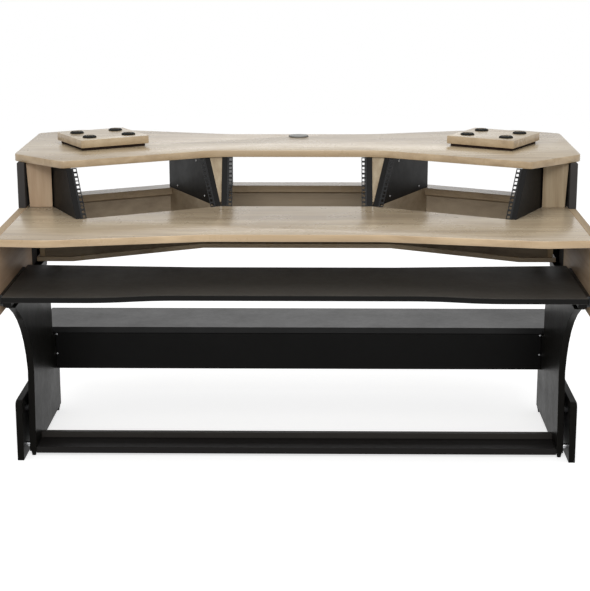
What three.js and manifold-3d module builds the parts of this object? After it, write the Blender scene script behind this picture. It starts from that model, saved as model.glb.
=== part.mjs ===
// A studio desk: an angled oak worktop between two side cheeks, three tilted rack bays under a raised
// deck, a shallow box behind the worktop for cables, a keyboard shelf on ball-bearing slides, and a
// black underframe of two shaped legs with outrigger feet. X runs to the right, Y to the back, Z up.
// Lengths are in millimetres. While the desk is laid out, Y is zero where the rack bays meet the worktop.

import * as THREE from 'three';
import { mergeVertices } from 'three/addons/utils/BufferGeometryUtils.js';
import Module from 'manifold-3d';

const wasm = await Module();
wasm.setup();

const degree = Math.PI / 180;

// Board stock and fitting
const topThickness = 25;
const carcassThickness = 18;
const frameThickness = 22;
const seam = 0.3;
const easing = 1;
const easingSegments = 1;
const roundSegments = 2;
const bendSegments = 6;
const overrun = 20;

// Overall layout
const worktopHeight = 815.5;
const cheekHeight = 250.5;
const bayAngle = 27 * degree;

// Rack bays: four units of nineteen-inch rack, tilted back from the vertical
const rackUnits = 4;
const rackUnitHeight = 44.45;
const rackClearance = 2;
const rackColumnSpacing = 465.1;
const rackTilt = 30 * degree;
const rackHoleWidth = 9.5;
const rackHoleSides = 4;
const rackHoleShares = [ 1 / 7, 1 / 2, 6 / 7 ];
const stripWidth = 19.5;
const stripColumnInset = 7.55;
const stripThickness = 2;
const stripFlange = 16;
const stripRecess = 1;
const boardSeat = 22;
const bayJoint = 1;
const bayEndSpace = 203.72;

// Worktop
const worktopCentreDepth = 478;
const worktopCentreX = 282;
const worktopCornerInset = 152;
const worktopCornerDepth = 575;
const worktopEndDepth = 560;
const worktopBendRound = 22;
const worktopEase = 3;

// Side cheeks, end panels and the oak fillers in front of the rack ends
const cheekFrontProud = 3;
const cheekRound = 6;
const cheekBackY = 33;
const endPanelFrontY = - 43;
const endPanelBackY = 232;
const fillerSetback = 24;
const fillerJoint = 4;
const fillerTopGap = 3;
const fillerBottomGap = 11.5;

// Wedge fillers between the centre bay and the side bays
const wedgeThickness = 18;
const wedgeRecess = 1;
const wedgeFootRise = 14;

// Upper deck
const deckOverlap = 1.5;
const deckCornerInset = 151;
const deckTipOverhang = 15;
const deckTipY = 0;
const deckSideBackY = 501;
const deckBackCornerInset = 105;
const deckBackY = 587;
const deckBackBendInset = 285;
const deckBackBendDrop = 5;
const deckBackCentreX = 270;
const deckBackCentreY = 477;
const deckCornerRound = 16;
const deckBendRound = 60;
const deckEase = 2.5;

// Cable grommet in the deck: a flanged sleeve, and a plain cap let into its rim
const grommetSetback = 58;
const grommetRadius = 37;
const grommetBore = 29;
const grommetRimHeight = 3.5;
const grommetSeatHeight = 1.2;
const grommetWall = 2;
const grommetCapRadius = 33;
const grommetCapClearance = 0.4;
const grommetPlugDepth = 8;
const grommetSegments = 32;

// Cable box behind the worktop
const boxDepth = 102.5;
const boxFloorThickness = 16;
const boxFrontOverlap = 24;
const boxWingSetback = 6;
const boxReturnInset = 190;
const boxEndInset = 68;
const boxLip = 5.7;
const boxEndLip = 9;
const ledgeSetback = 407;
const ledgeDepth = 75;
const ledgeWingStep = 7;
const boxBackSetback = 15;

// Keyboard shelf and its slides
const shelfThickness = 18;
const shelfFrontWingY = - 581;
const shelfFrontCentreY = - 548;
const shelfCentreX = 440;
const shelfWingInset = 335;
const shelfBackCentreY = - 148;
const shelfBackEndY = - 116;
const shelfBackCentreX = 340;
const shelfBendRound = 70;
const slideSpace = 12;
const battenWidth = 27;
const battenHeight = 19.4;
const battenFrontInset = 24;
const battenClearance = 5;
const slideLength = 400;
const slideHeight = 35;
const slideSheet = 1.2;
const slideGap = 1;
const slideClearance = 0.3;
const slideBall = 2.4;
const slideRise = 1;
const slideFrontInset = 36;

// Underframe
const legGap = 26;
const legTopFrontY = - 546;
const legFootFrontY = - 296;
const legLean = 24;
const legKneeShare = 0.51;
const legThroatY = - 323;
const legThroatShare = 0.83;
const legTopBackY = 42;
const legBackBendY = 92;
const legBackBendShare = 0.46;
const legBackStraightShare = 0.26;
const legBackY = 112;
const legStepHeight = 312;
const legFootBackY = 235;
const legStepRound = 12;
const railHeight = 25;
const railFrontInset = 93;
const railBackY = 185;
const footGap = 13;
const footHeight = 210;
const footFrontProud = 39;
const footBackProud = 7;
const footRound = 22;
const spacerRadius = 8;
const boltHeadRadius = 6;
const boltHeadHeight = 2.5;
const spacerHeight = 40;
const spacerInset = 20;
const boltRadius = 3;
const boltBite = 14;
const boltSegments = 14;
const glideHeight = 20;
const glideTopRadius = 11;
const glideToeRadius = 7;
const glidePlateHeight = 3;
const glideInset = 20;
const cableShelfFrontY = 167;
const cableShelfDepth = 282;
const modestyHeight = 135;
const footRailHeight = 11;
const footRailInset = 6;
const footRailDepth = 102;
const footRailUpstand = 41;

// Isolation pads standing on the deck wings
const padAngle = 30 * degree;
const padInset = 237;
const padY = 222;
const padWidth = 256;
const padDepth = 236;
const padThickness = 28;
const padRound = 5;
const padBaseInset = 10;
const padBaseHeight = 9;
const padDiscRadius = 24;
const padDiscHeight = 7;
const padDiscRimHeight = 3;
const padDiscDishRadius = 12;
const padDiscDishDepth = 1.5;
const padDiscSpacingX = 148;
const padDiscSpacingY = 120;
const padDiscSegments = 24;

// Heights that follow from the ones above
const worktopUnderside = worktopHeight - topThickness;
const rackSlope = rackUnits * rackUnitHeight + 2 * rackClearance;
const deckUnderside = worktopHeight + rackSlope * Math.cos( rackTilt );
const rackLean = rackSlope * Math.sin( rackTilt );
const deckTop = deckUnderside + topThickness;
const padBottom = deckTop + padBaseHeight + 2 * seam;
const boxFloorTop = worktopUnderside - boxDepth;
const cheekBottom = worktopHeight - cheekHeight;
const legTop = cheekBottom + railHeight;
const battenBottom = legTop + battenClearance;
const shelfBottom = battenBottom + battenHeight;

// Widths that follow
const rackOpening = rackColumnSpacing - 2 * stripColumnInset;
const bayWidth = rackOpening + 2 * stripWidth + 2 * carcassThickness;
const pivotX = bayWidth / 2 + bayJoint;
const innerHalf = pivotX + bayWidth * Math.cos( bayAngle ) + bayEndSpace;
const worktopCornerX = innerHalf - worktopCornerInset;
const deckCornerX = innerHalf - deckCornerInset;
const deckTipX = innerHalf + topThickness + deckTipOverhang;
const deckBackCornerX = innerHalf - deckBackCornerInset;
const deckBackBendX = innerHalf - deckBackBendInset;
const boxReturnX = innerHalf - boxReturnInset;
const boxEndX = innerHalf - boxEndInset;
const shelfWingX = innerHalf - shelfWingInset;
const padX = innerHalf - padInset;
const shelfHalf = innerHalf - slideSpace;
const legOuter = innerHalf - legGap;
const legInner = legOuter - frameThickness;
const footInner = legOuter + footGap;
const footOuter = footInner + frameThickness;

// Directions of the right-hand side bay: along its front, and into its depth
const alongBay = new THREE.Vector2( Math.cos( bayAngle ), - Math.sin( bayAngle ) );
const intoBay = new THREE.Vector2( Math.sin( bayAngle ), Math.cos( bayAngle ) );

const colours = {
	oak: { color: 0xb8a78d, roughness: 0.55, metalness: 0 },
	laminate: { color: 0x1d1b1a, roughness: 0.42, metalness: 0 },
	charcoal: { color: 0x3c3c40, roughness: 0.5, metalness: 0 },
	blackSteel: { color: 0x151516, roughness: 0.45, metalness: 0.6 },
	brightSteel: { color: 0xb9bbbd, roughness: 0.28, metalness: 1 },
	rubber: { color: 0x141414, roughness: 0.7, metalness: 0 },
	grommet: { color: 0x4b4d50, roughness: 0.5, metalness: 0 }
};

const desk = new THREE.Group();

function add( name, geometry, finish ) {

	const mesh = new THREE.Mesh( geometry, new THREE.MeshStandardMaterial( colours[ finish ] ) );
	mesh.name = name;
	desk.add( mesh );

}

// A closed outline. Each corner is [ x, y ], or [ x, y, r ] to round it off from r before it to r after.
function outline( corners ) {

	const shape = new THREE.Shape();
	const points = corners.map( ( [ x, y ] ) => new THREE.Vector2( x, y ) );
	corners.forEach( ( [ , , round = 0 ], i ) => {

		const corner = points[ i ];
		const before = points[ ( i + points.length - 1 ) % points.length ];
		const after = points[ ( i + 1 ) % points.length ];
		const start = trimmed( corner, before, round );
		const end = trimmed( corner, after, round );
		if ( i === 0 ) shape.moveTo( start.x, start.y );
		else shape.lineTo( start.x, start.y );
		if ( round > 0 ) shape.quadraticCurveTo( corner.x, corner.y, end.x, end.y );

	} );
	shape.closePath();
	return shape;

}

// The point at the given distance from a corner towards its neighbour, at most halfway there
function trimmed( corner, neighbour, distance ) {

	const span = corner.distanceTo( neighbour );
	return corner.clone().lerp( neighbour, Math.min( distance / span, 1 / 2 ) );

}

function rectangle( x0, x1, y0, y1, round = 0 ) {

	return outline( [ [ x0, y0, round ], [ x1, y0, round ], [ x1, y1, round ], [ x0, y1, round ] ] );

}

// The right half of an outline, from front to back, closed by its mirror image
function mirroredOutline( half ) {

	const left = half.map( ( [ x, y, round ] ) => [ - x, y, round ] ).reverse();
	return outline( [ ...half, ...left ] );

}

// An outline for one side: drawn for the right-hand side, mirrored for the left
function sideOutline( corners, side ) {

	return outline( corners.map( ( [ x, y, round ] ) => [ side * x, y, round ] ) );

}

function extruded( shape, thickness, ease ) {

	const geometry = new THREE.ExtrudeGeometry( shape, {
		depth: thickness - 2 * ease,
		bevelEnabled: ease > 0,
		bevelThickness: ease,
		bevelSize: ease,
		bevelOffset: - ease,
		bevelSegments: ease > easing ? roundSegments : easingSegments,
		curveSegments: bendSegments
	} );
	return geometry.translate( 0, 0, ease );

}

// A hole with flat sides that touch a circle of the given radius. The first corner is half a step round.
function flatHole( x, y, radius, sides ) {

	const corner = radius / Math.cos( Math.PI / sides );
	const points = Array.from( { length: sides }, ( _, i ) => {

		const angle = - 2 * Math.PI * ( i + 1 / 2 ) / sides;
		return new THREE.Vector2( x + corner * Math.cos( angle ), y + corner * Math.sin( angle ) );

	} );
	return new THREE.Path( points );

}

// A board lying flat: its outline is drawn in X and Y
function plate( shape, bottom, thickness, ease = easing ) {

	return extruded( shape, thickness, ease ).translate( 0, 0, bottom );

}

// A board standing front to back: its outline is drawn in Y and Z, and it grows outwards from x
function slab( shape, x, thickness, side, ease = easing ) {

	const geometry = extruded( shape, thickness, ease );
	const turn = new THREE.Matrix4().makeBasis(
		new THREE.Vector3( 0, 1, 0 ), new THREE.Vector3( 0, 0, 1 ), new THREE.Vector3( 1, 0, 0 )
	);
	return geometry.applyMatrix4( turn ).translate( side > 0 ? x : - x - thickness, 0, 0 );

}

// A board facing the front: its outline is drawn in X and Z, and it grows backwards from y
function panel( shape, y, thickness, ease = easing ) {

	const geometry = extruded( shape, thickness, ease );
	const turn = new THREE.Matrix4().makeBasis(
		new THREE.Vector3( 1, 0, 0 ), new THREE.Vector3( 0, 0, 1 ), new THREE.Vector3( 0, - 1, 0 )
	);
	return geometry.applyMatrix4( turn ).translate( 0, y + thickness, 0 );

}

function solidOf( geometry ) {

	const bare = geometry.clone();
	bare.deleteAttribute( 'normal' );
	bare.deleteAttribute( 'uv' );
	const merged = mergeVertices( bare );
	return new wasm.Manifold( new wasm.Mesh( {
		numProp: 3,
		vertProperties: new Float32Array( merged.getAttribute( 'position' ).array ),
		triVerts: new Uint32Array( merged.getIndex().array )
	} ) );

}

function geometryOf( solid ) {

	const mesh = solid.getMesh();
	const geometry = new THREE.BufferGeometry();
	geometry.setAttribute( 'position', new THREE.BufferAttribute( mesh.vertProperties, mesh.numProp ) );
	geometry.setIndex( new THREE.BufferAttribute( mesh.triVerts, 1 ) );
	const flat = geometry.toNonIndexed();
	flat.computeVertexNormals();
	return flat;

}

function subtract( body, cutters ) {

	const cut = ( rest, cutter ) => rest.subtract( solidOf( cutter ) );
	return geometryOf( cutters.reduce( cut, solidOf( body ) ) );

}

// Depth of a line parallel to the side bays' front, a given distance behind it, at a given X
function wingLine( distance, x ) {

	return distance / Math.cos( bayAngle ) - ( x - pivotX ) * Math.tan( bayAngle );

}

// X where that line crosses a given Y
function wingLineX( distance, y ) {

	return pivotX + ( distance / Math.cos( bayAngle ) - y ) / Math.tan( bayAngle );

}

// A place given in the right-hand bay's own directions
function bayPoint( along, depth ) {

	return [
		pivotX + alongBay.x * along + intoBay.x * depth,
		alongBay.y * along + intoBay.y * depth
	];

}

// A revolved solid from the corners of its closed profile, each [ radius, height ]
function turned( profile, segments ) {

	const points = [ ...profile, profile[ 0 ] ].map( ( [ r, z ] ) => new THREE.Vector2( r, z ) );
	return new THREE.LatheGeometry( points, segments ).rotateX( Math.PI / 2 );

}

function sideName( side ) {

	return side > 0 ? 'right' : 'left';

}

function upperDeck() {

	const front = rackLean - deckOverlap;
	const shape = mirroredOutline( [
		[ wingLineX( front, front ), front, deckBendRound ],
		[ deckCornerX, wingLine( front, deckCornerX ), deckCornerRound ],
		[ deckTipX, deckTipY, deckCornerRound ],
		[ deckTipX, deckSideBackY, deckCornerRound ],
		[ deckBackCornerX, deckBackY, deckCornerRound ],
		[ deckBackBendX, deckBackY - deckBackBendDrop, deckBendRound ],
		[ deckBackCentreX, deckBackCentreY, deckBendRound ]
	] );
	shape.holes.push( flatHole( 0, deckBackCentreY - grommetSetback, grommetBore, grommetSegments ) );
	add( 'upper_deck', plate( shape, deckUnderside, topThickness, deckEase ), 'oak' );

}

function grommet() {

	const tubeOuter = grommetBore - seam;
	const tubeInner = tubeOuter - grommetWall;
	const rimInner = grommetCapRadius + grommetCapClearance;
	const y = deckBackCentreY - grommetSetback;
	const rimBase = deckTop + seam;
	const seat = rimBase + grommetSeatHeight;
	const rimTop = rimBase + grommetRimHeight;
	const sleeve = turned( [
		[ tubeInner, deckUnderside ], [ tubeOuter, deckUnderside ], [ tubeOuter, rimBase ],
		[ grommetRadius, rimBase ], [ grommetRadius - grommetWall, rimTop ], [ rimInner, rimTop ],
		[ rimInner, seat ], [ tubeInner, seat ]
	], grommetSegments );
	const plugRadius = tubeInner - grommetCapClearance;
	const cap = turned( [
		[ 0, seat - grommetPlugDepth ], [ plugRadius, seat - grommetPlugDepth ], [ plugRadius, seat + seam ],
		[ grommetCapRadius, seat + seam ], [ grommetCapRadius, rimTop ], [ 0, rimTop ]
	], grommetSegments );
	add( 'grommet_sleeve', sleeve.translate( 0, y, 0 ), 'grommet' );
	add( 'grommet_cap', cap.translate( 0, y, 0 ), 'grommet' );

}

function worktop() {

	const boardFace = bayWidth - carcassThickness / 2;
	const endBack = carcassThickness - fillerSetback;
	const faceRun = ( endBack + boardFace * Math.sin( bayAngle ) ) / Math.cos( bayAngle );
	const shape = mirroredOutline( [
		[ worktopCentreX, - worktopCentreDepth, worktopBendRound ],
		[ worktopCornerX, - worktopCornerDepth, worktopBendRound ],
		[ innerHalf - seam, - worktopEndDepth ],
		[ innerHalf - seam, endBack ],
		bayPoint( boardFace, faceRun ),
		bayPoint( boardFace, 0 ),
		[ pivotX, 0 ]
	] );
	add( 'worktop', plate( shape, worktopUnderside, topThickness, worktopEase ), 'oak' );

}

// The end panel is notched at its lower front corner, where it stands on the cheek's rear end
function sidePanels( side ) {

	const front = - worktopEndDepth - cheekFrontProud;
	const cheek = outline( [
		[ front, cheekBottom ],
		[ cheekBackY, cheekBottom ],
		[ cheekBackY, worktopHeight ],
		[ front, worktopHeight, cheekRound ]
	] );
	add( sideName( side ) + '_side_cheek', slab( cheek, innerHalf, topThickness, side ), 'oak' );
	const end = outline( [
		[ cheekBackY + seam, cheekBottom ],
		[ endPanelBackY, cheekBottom ],
		[ endPanelBackY, deckUnderside - seam ],
		[ endPanelFrontY, deckUnderside - seam ],
		[ endPanelFrontY, worktopHeight + seam ],
		[ cheekBackY + seam, worktopHeight + seam ]
	] );
	add( sideName( side ) + '_end_panel', slab( end, innerHalf, topThickness, side ), 'charcoal' );

}

// The oak panel closing the front between the outer rack board and the end panel. Its inner edge is
// planed to the bay angle, and its outer edge leans so that the dark joint widens towards the worktop.
function frontFiller( side ) {

	const faceRun = ( bayWidth * Math.sin( bayAngle ) - fillerSetback ) / Math.cos( bayAngle );
	const faceX = bayPoint( bayWidth, faceRun )[ 0 ];
	const shape = sideOutline( [
		[ faceX + fillerJoint, worktopHeight + seam ],
		[ innerHalf - fillerBottomGap, worktopHeight + seam ],
		[ innerHalf - fillerTopGap, deckUnderside - seam ],
		[ faceX + fillerJoint, deckUnderside - seam ]
	], side );
	const board = panel( shape, - fillerSetback, carcassThickness );
	const cutter = plate( sideOutline( [
		bayPoint( 0, - overrun ),
		bayPoint( bayWidth + fillerJoint, - overrun ),
		bayPoint( bayWidth + fillerJoint, ledgeSetback ),
		bayPoint( 0, ledgeSetback )
	], side ), worktopHeight - overrun, deckUnderside - worktopHeight + 2 * overrun, 0 );
	add( sideName( side ) + '_front_filler', subtract( board, [ cutter ] ), 'oak' );

}

// One rack board with a tilted front edge, standing with its near face at a distance along the bay
function rackBoard( along, length, side ) {

	const profile = outline( [
		[ 0, worktopHeight + seam ],
		[ length, worktopHeight + seam ],
		[ length, deckUnderside - seam ],
		[ rackLean, deckUnderside - seam ]
	] );
	return slab( profile, along, carcassThickness, side );

}

// A steel strip, bent to an angle, with a column of square holes at the rack standard's pitch. It is drawn
// with its slope along Y and its face looking along Z, then laid back against the board's front edge.
function rackStrip( boardFace, way, side ) {

	const at = ( distance ) => side * ( boardFace + way * distance );
	const top = rackSlope - seam;
	const face = rectangle( ...ordered( at( seam ), at( stripWidth ) ), seam, top );
	const column = at( stripWidth - stripColumnInset );
	for ( let unit = 0; unit < rackUnits; unit ++ ) {

		for ( const share of rackHoleShares ) {

			const height = rackClearance + ( unit + share ) * rackUnitHeight;
			face.holes.push( flatHole( column, height, rackHoleWidth / 2, rackHoleSides ) );

		}

	}
	const flange = rectangle( ...ordered( at( seam ), at( seam + stripThickness ) ), seam, top );
	const faceBack = - stripRecess - stripThickness;
	const bent = solidOf( plate( face, faceBack, stripThickness, 0 ) )
		.add( solidOf( plate( flange, - stripRecess - stripFlange, stripFlange, 0 ) ) );
	return geometryOf( bent ).rotateX( Math.PI / 2 - rackTilt ).translate( 0, 0, worktopHeight );

}

function ordered( a, b ) {

	return a < b ? [ a, b ] : [ b, a ];

}

// Places a piece drawn in a side bay's own directions into the desk
function inBay( geometry, side ) {

	return geometry.rotateZ( - side * bayAngle ).translate( side * pivotX, 0, 0 );

}

function centreBay() {

	const length = ledgeSetback + boardSeat;
	const nearFace = rackOpening / 2 + stripWidth;
	for ( const side of [ - 1, 1 ] ) {

		add( `centre_${ sideName( side ) }_rack_board`, rackBoard( nearFace, length, side ), 'laminate' );
		add( `centre_${ sideName( side ) }_rack_strip`, rackStrip( nearFace, - 1, side ), 'blackSteel' );

	}

}

function sideBay( side ) {

	const name = sideName( side );
	const length = ledgeSetback + ledgeWingStep + boardSeat;
	const farBoard = bayWidth - carcassThickness;
	add( name + '_inner_rack_board', inBay( rackBoard( 0, length, side ), side ), 'laminate' );
	add( name + '_outer_rack_board', inBay( rackBoard( farBoard, length, side ), side ), 'laminate' );
	add( name + '_inner_rack_strip', inBay( rackStrip( carcassThickness, 1, side ), side ), 'blackSteel' );
	add( name + '_outer_rack_strip', inBay( rackStrip( farBoard, - 1, side ), side ), 'blackSteel' );

}

// The oak wedge that closes the widening gap between the centre bay and a side bay. It is the upright
// space between the two boards, kept only within a sheet that leans back as the boards' edges do.
function wedgeFiller( side ) {

	const reach = rackLean + 2 * wedgeThickness;
	const inner = pivotX - bayJoint + seam;
	const gap = seam / Math.cos( bayAngle );
	const space = sideOutline( [
		[ inner, 0 ],
		[ pivotX - gap, 0 ],
		[ pivotX - gap + intoBay.x * reach, intoBay.y * reach ],
		[ inner, reach ]
	], side );
	const foot = worktopHeight + wedgeFootRise;
	const upright = plate( space, foot, deckUnderside - seam - foot, 0 );
	const lean = Math.atan( Math.tan( rackTilt ) * Math.cos( bayAngle / 2 ) );
	const section = rectangle( - reach, reach, wedgeRecess, wedgeRecess + wedgeThickness );
	const sheet = plate( section, - reach, rackSlope + 2 * reach, 0 );
	sheet.rotateX( - lean ).rotateZ( - side * bayAngle / 2 ).translate( side * pivotX, 0, worktopHeight );
	const filler = geometryOf( solidOf( upright ).intersect( solidOf( sheet ) ) );
	add( sideName( side ) + '_wedge_filler', filler, 'oak' );

}

function rearLedge() {

	const wing = ledgeSetback + ledgeWingStep;
	const end = innerHalf - seam;
	const back = ledgeSetback + ledgeDepth;
	const wingBack = wing + ledgeDepth;
	const shape = mirroredOutline( [
		[ wingLineX( wing, ledgeSetback ), ledgeSetback ],
		[ end, wingLine( wing, end ) ],
		[ end, wingLine( wingBack, end ) ],
		[ wingLineX( wingBack, back ), back ]
	] );
	add( 'rear_ledge', plate( shape, worktopUnderside, topThickness ), 'oak' );

}

// The right half of a line round the cable box: across the centre, along the wing, and out at the end
function boxLine( centreY, wingDistance, returnY, endX ) {

	return [
		[ wingLineX( wingDistance, centreY ), centreY ],
		[ wingLineX( wingDistance, returnY ), returnY ],
		[ endX, returnY ]
	];

}

function boxFloor() {

	const returnY = wingLine( boxWingSetback, boxReturnX );
	const back = ledgeSetback + boxBackSetback + carcassThickness;
	const front = boxLine( - boxFrontOverlap, boxWingSetback, returnY, boxEndX );
	const shape = mirroredOutline( [
		...front,
		[ boxEndX, wingLine( back + ledgeWingStep, boxEndX ) ],
		[ wingLineX( back + ledgeWingStep, back ), back ]
	] );
	add( 'box_floor', plate( shape, boxFloorTop - boxFloorThickness, boxFloorThickness ), 'oak' );

}

// The box's front wall follows the floor's front edge, and its back wall stands under the rear ledge
function boxWalls() {

	const bottom = boxFloorTop + seam;
	const height = worktopUnderside - seam - bottom;
	const wallEndX = boxEndX - boxEndLip;
	const endX = wallEndX - carcassThickness - seam;
	const frontY = boxLip - boxFrontOverlap;
	const frontWing = boxLip + boxWingSetback;
	const returnY = wingLine( boxWingSetback, boxReturnX ) + boxLip;
	const frontOuter = boxLine( frontY, frontWing, returnY, endX );
	const frontInner = boxLine(
		frontY + carcassThickness, frontWing + carcassThickness, returnY + carcassThickness, endX
	);
	const front = mirroredOutline( [ ...frontOuter, ...frontInner.reverse() ] );
	add( 'box_front_wall', plate( front, bottom, height ), 'oak' );
	const nearY = ledgeSetback + boxBackSetback;
	const nearWing = nearY + ledgeWingStep;
	const farY = nearY + carcassThickness;
	const farWing = nearWing + carcassThickness;
	const back = mirroredOutline( [
		[ wingLineX( nearWing, nearY ), nearY ],
		[ endX, wingLine( nearWing, endX ) ],
		[ endX, wingLine( farWing, endX ) ],
		[ wingLineX( farWing, farY ), farY ]
	] );
	add( 'box_back_wall', plate( back, bottom, height ), 'oak' );
	for ( const side of [ - 1, 1 ] ) {

		const end = rectangle( returnY, wingLine( farWing, wallEndX ), bottom, bottom + height );
		const inner = wallEndX - carcassThickness;
		add( `box_${ sideName( side ) }_end_wall`, slab( end, inner, carcassThickness, side ), 'oak' );

	}

}

// The oak divider under each inner rack board, notched at its top for the rear ledge
function boxDivider( side ) {

	const bottom = boxFloorTop + seam;
	const start = ( carcassThickness * Math.sin( bayAngle ) + seam ) / Math.cos( bayAngle );
	const ledgeFront = ledgeSetback + ledgeWingStep - seam;
	const end = ledgeFront + boxBackSetback;
	const profile = outline( [
		[ start, bottom ],
		[ end, bottom ],
		[ end, worktopUnderside - seam ],
		[ ledgeFront, worktopUnderside - seam ],
		[ ledgeFront, worktopHeight ],
		[ start, worktopHeight ]
	] );
	const board = slab( profile, 0, carcassThickness, side );
	add( `box_${ sideName( side ) }_divider`, inBay( board, side ), 'oak' );

}

function keyboardShelf() {

	const shape = mirroredOutline( [
		[ shelfCentreX, shelfFrontCentreY, shelfBendRound ],
		[ shelfWingX, shelfFrontWingY, shelfBendRound ],
		[ shelfHalf, shelfFrontWingY ],
		[ shelfHalf, shelfBackEndY ],
		[ shelfBackCentreX, shelfBackCentreY ]
	] );
	add( 'keyboard_shelf', plate( shape, shelfBottom, shelfThickness ), 'laminate' );
	for ( const side of [ - 1, 1 ] ) {

		const front = shelfFrontWingY + battenFrontInset;
		const back = front + slideLength + battenFrontInset;
		const batten = rectangle( front, back, battenBottom, shelfBottom - seam );
		const name = sideName( side ) + '_shelf_batten';
		add( name, slab( batten, shelfHalf - battenWidth, battenWidth, side ), 'laminate' );

	}

}

// One member of a slide: a channel with its web at one X and its lips reaching to another
function channel( webX, lipX, halfHeight, lipThickness, side ) {

	const way = Math.sign( lipX - webX );
	const webInside = webX + way * slideSheet;
	const lipInside = halfHeight - lipThickness;
	const lower = [
		[ webX, - halfHeight ],
		[ lipX, - halfHeight ],
		[ lipX, - lipInside ],
		[ webInside, - lipInside ]
	];
	const upper = lower.map( ( [ x, z ] ) => [ x, - z ] ).reverse();
	const shape = sideOutline( [ ...lower, ...upper ], side );
	const front = shelfFrontWingY + slideFrontInset;
	return panel( shape, front, slideLength, 0 ).translate( 0, 0, battenBottom + slideHeight / 2 + slideRise );

}

// A three-part ball-bearing slide. The middle member's lips include its ball races.
function slide( side ) {

	const name = sideName( side );
	const shelfSide = shelfHalf + seam;
	const cheekSide = innerHalf - seam;
	const half = slideHeight / 2;
	const middleHalf = half - slideSheet - slideClearance;
	const race = slideSheet + slideBall;
	const innerHalfHeight = middleHalf - race - slideClearance;
	const outerLip = shelfSide + slideSheet + slideGap;
	const middleWeb = cheekSide - slideSheet - slideGap;
	add( name + '_slide_outer', channel( cheekSide, outerLip, half, slideSheet, side ), 'brightSteel' );
	add( name + '_slide_middle', channel( middleWeb, outerLip, middleHalf, race, side ), 'brightSteel' );
	const innerLip = middleWeb - slideSheet - slideGap;
	const inner = channel( shelfSide, innerLip, innerHalfHeight, slideSheet, side );
	add( name + '_slide_inner', inner, 'brightSteel' );

}

function leg( side ) {

	const foot = glideHeight;
	const backHeight = ( share ) => legStepHeight + share * ( legTop - legStepHeight );
	const straightHeight = backHeight( legBackStraightShare );
	const bendHeight = backHeight( legBackBendShare );
	const shape = new THREE.Shape();
	shape.moveTo( legFootFrontY, foot );
	shape.lineTo( legFootBackY, foot );
	shape.lineTo( legFootBackY, legStepHeight );
	shape.lineTo( legBackY + legStepRound, legStepHeight );
	shape.quadraticCurveTo( legBackY, legStepHeight, legBackY, legStepHeight + legStepRound );
	shape.lineTo( legBackY, straightHeight );
	shape.quadraticCurveTo( legBackY, bendHeight, legBackBendY, bendHeight + legStepRound );
	shape.lineTo( legTopBackY, legTop );
	shape.lineTo( legTopFrontY, legTop );
	const kneeY = legFootFrontY + legLean;
	shape.quadraticCurveTo( legThroatY, legThroatShare * legTop, kneeY, legKneeShare * legTop );
	shape.closePath();
	const board = slab( shape, legInner, frameThickness, side );
	const bores = spacerPlaces().map( ( [ y, z ] ) =>
		rod( boltRadius + seam, legOuter - boltBite, legOuter + overrun, side ).translate( 0, y, z ) );
	add( sideName( side ) + '_leg', subtract( board, bores ), 'laminate' );

}

// A round bar along X, from one distance off the centre line to another
function rod( radius, from, to, side ) {

	const bar = new THREE.CylinderGeometry( radius, radius, to - from, boltSegments );
	return bar.rotateZ( Math.PI / 2 ).translate( side * ( from + to ) / 2, 0, 0 );

}

// Where the bolts pass from an outrigger foot into its leg
function spacerPlaces() {

	return [
		[ legFootFrontY + spacerInset, spacerHeight ],
		[ legFootBackY - spacerInset, spacerHeight ],
		[ legFootFrontY + spacerInset, footHeight - spacerHeight ],
		[ legFootBackY - spacerInset, footHeight - spacerHeight ]
	];

}

// An outrigger foot: an upright board held off its leg by round spacers, with a bolt through each one
function outriggerFoot( side ) {

	const shape = outline( [
		[ legFootFrontY - footFrontProud, 0 ],
		[ legFootBackY + footBackProud, 0 ],
		[ legFootBackY + footBackProud, footHeight, footRound ],
		[ legFootFrontY - footFrontProud, footHeight, footRound ]
	] );
	let foot = solidOf( slab( shape, footInner, frameThickness, side ) );
	for ( const [ y, z ] of spacerPlaces() ) {

		const bolt = rod( boltRadius, legOuter - boltBite + seam, footOuter, side );
		const spacer = rod( spacerRadius, legOuter + seam, footOuter, side );
		const head = rod( boltHeadRadius, footInner, footOuter + boltHeadHeight, side );
		for ( const piece of [ bolt, spacer, head ] ) foot = foot.add( solidOf( piece.translate( 0, y, z ) ) );

	}
	add( sideName( side ) + '_foot', geometryOf( foot ), 'laminate' );

}

// A tapered glide under each end of a leg
function levellingGlides( side ) {

	const top = glideHeight - seam;
	const profile = [
		[ 0, 0 ], [ glideToeRadius, 0 ], [ glideToeRadius, glidePlateHeight ], [ glideTopRadius, top ], [ 0, top ]
	];
	const places = { front: legFootFrontY + glideInset, rear: legFootBackY - glideInset };
	for ( const [ end, y ] of Object.entries( places ) ) {

		const glide = turned( profile, boltSegments ).translate( side * ( legInner + legOuter ) / 2, y, 0 );
		add( `${ sideName( side ) }_${ end }_glide`, glide, 'rubber' );

	}

}

// The packer that fastens each leg's top to the cheek and end panel beside it
function mountingRail( side ) {

	const shape = rectangle( legTopFrontY + railFrontInset, railBackY, cheekBottom, legTop );
	const board = slab( shape, legOuter + seam, legGap - 2 * seam, side );
	add( sideName( side ) + '_mounting_rail', board, 'laminate' );

}

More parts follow.
